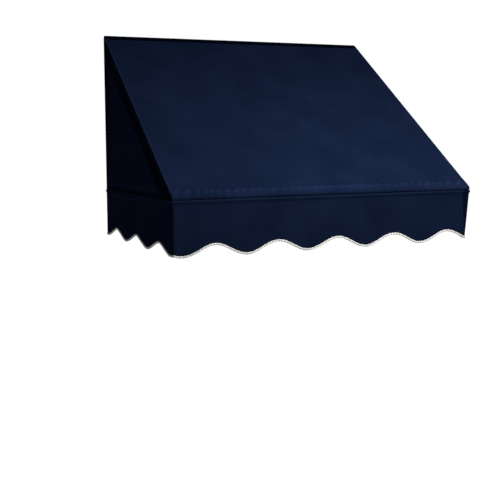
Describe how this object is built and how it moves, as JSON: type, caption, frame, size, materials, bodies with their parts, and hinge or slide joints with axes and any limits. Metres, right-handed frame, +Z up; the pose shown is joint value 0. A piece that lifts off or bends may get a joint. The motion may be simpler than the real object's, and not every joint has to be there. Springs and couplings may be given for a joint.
{
  "type": "window awning",
  "caption": "Fixed shed-shaped window awning: sloping navy cloth roof, triangular cheeks and a hanging waved valance with white rope-like binding, over a square-tube frame on wall brackets",
  "frame": {"origin": "middle of the back face of the middle head bracket, on the wall plane", "axes": "+X along the wall to the right seen from outside, +Y into the wall, +Z up; the awning projects along -Y"},
  "size_m": [1.032, 0.7543, 0.7035],
  "materials": {
    "canvas": "matt woven",
    "lining": "matt woven",
    "binding": "twisted cord",
    "tube": "mill finish",
    "fitting": "cast, satin",
    "bracket": "galvanised",
    "screw": "zinc plated"
  },
  "bodies": {
    "root": {"back_wrap_left": "lining", "back_wrap_right": "lining", "binding_front": "binding", "binding_left": "binding", "binding_right": "binding", "corner_front_left": "fitting", "corner_front_right": "fitting", "corner_top_left": "fitting", "corner_top_right": "fitting", "cover_roof": "canvas", "cover_side_left": "canvas", "cover_side_right": "canvas", "elbow_wall_left": "fitting", "elbow_wall_right": "fitting", "foot_bracket_left": "bracket", "foot_bracket_right": "bracket", "front_bar": "tube", "head_bar": "tube", "head_bracket_left": "bracket", "head_bracket_middle": "bracket", "head_bracket_right": "bracket", "head_flap": "lining", "lag_screw_foot_left_1": "screw", "lag_screw_foot_left_2": "screw", "lag_screw_foot_right_1": "screw", "lag_screw_foot_right_2": "screw", "lag_screw_head_left_1": "screw", "lag_screw_head_left_2": "screw", "lag_screw_head_middle_1": "screw", "lag_screw_head_middle_2": "screw", "lag_screw_head_right_1": "screw", "lag_screw_head_right_2": "screw", "pocket_arm_left": "lining", "pocket_arm_right": "lining", "pocket_front_left": "lining", "pocket_front_right": "lining", "rafter_left": "tube", "rafter_middle": "tube", "rafter_right": "tube", "side_arm_left": "tube", "side_arm_right": "tube", "tee_front": "fitting", "tee_top": "fitting", "upright_left": "tube", "upright_right": "tube", "valance_front": "canvas", "valance_left": "canvas", "valance_right": "canvas"}
  },
  "joints": []
}
